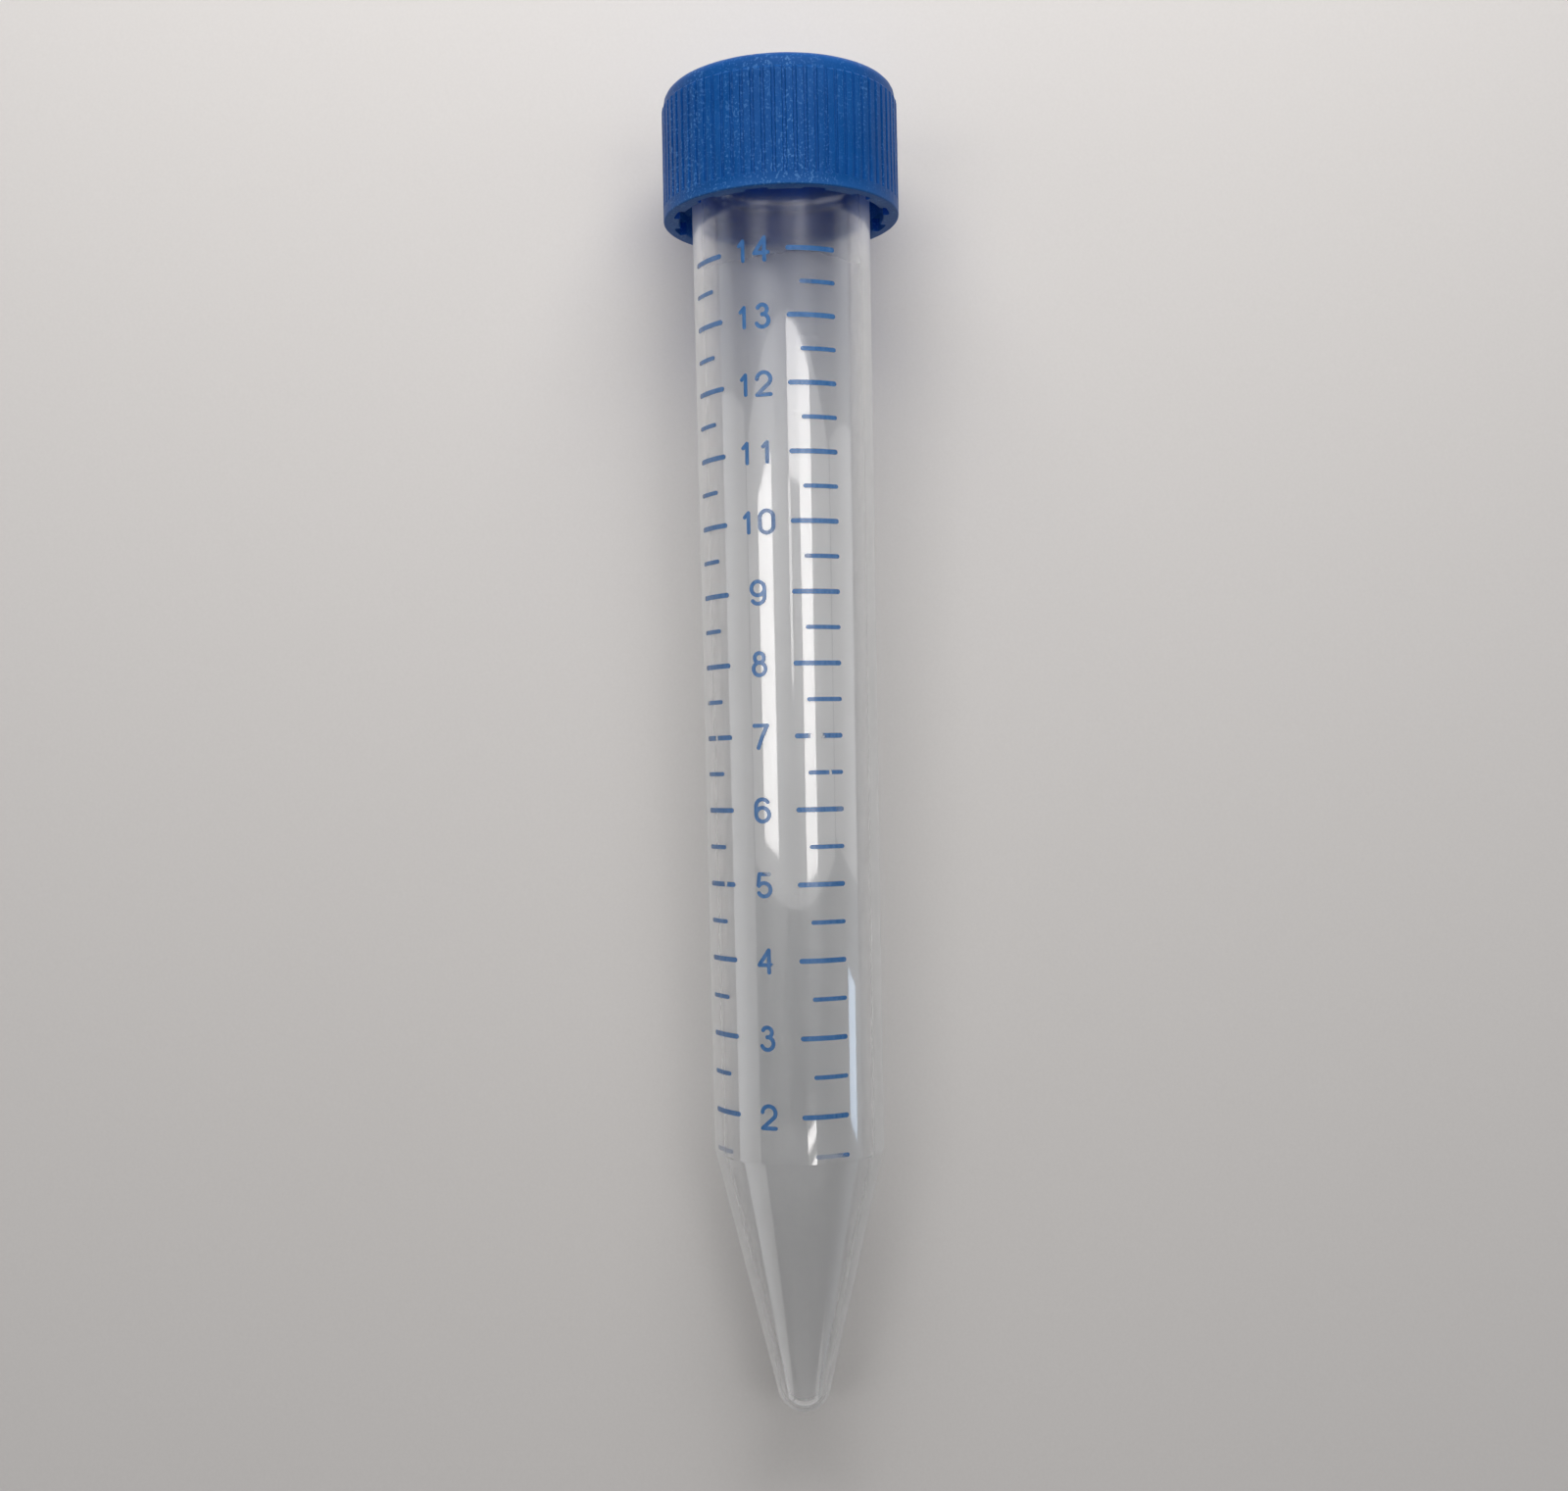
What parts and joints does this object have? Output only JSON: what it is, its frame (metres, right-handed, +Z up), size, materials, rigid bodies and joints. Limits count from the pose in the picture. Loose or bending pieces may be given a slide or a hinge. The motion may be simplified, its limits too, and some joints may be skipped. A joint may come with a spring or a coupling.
{
  "type": "conical centrifuge tube",
  "caption": "Lying 15 ml conical tube of translucent plastic with a printed millilitre scale and a ribbed blue screw cap that lifts off.",
  "frame": {"origin": "middle of the lying part's bounding box, on the surface that it rests on", "axes": "+Z up, +Y along the tube from the tip towards the cap, +X to the right when the cap points away; the tube's own axis rises about 2 degrees towards the cap, because the cap is wider than the body"},
  "size_m": [0.0216, 0.1212, 0.022],
  "materials": {
    "tube_plastic": "translucent natural polypropylene, smooth",
    "cap_plastic": "opaque blue, fine matt grain",
    "ink": "thin printed blue ink"
  },
  "bodies": {
    "vessel": {"tube": "tube_plastic", "scale_marks": "ink", "scale_numbers": "ink"},
    "closure": {"cap": "cap_plastic"}
  },
  "joints": [
    {"name": "cap_lift", "type": "slide", "parent": "vessel", "child": "closure", "axis": [0, 0.9994, 0.036], "range_m": [0, 0.03]}
  ]
}
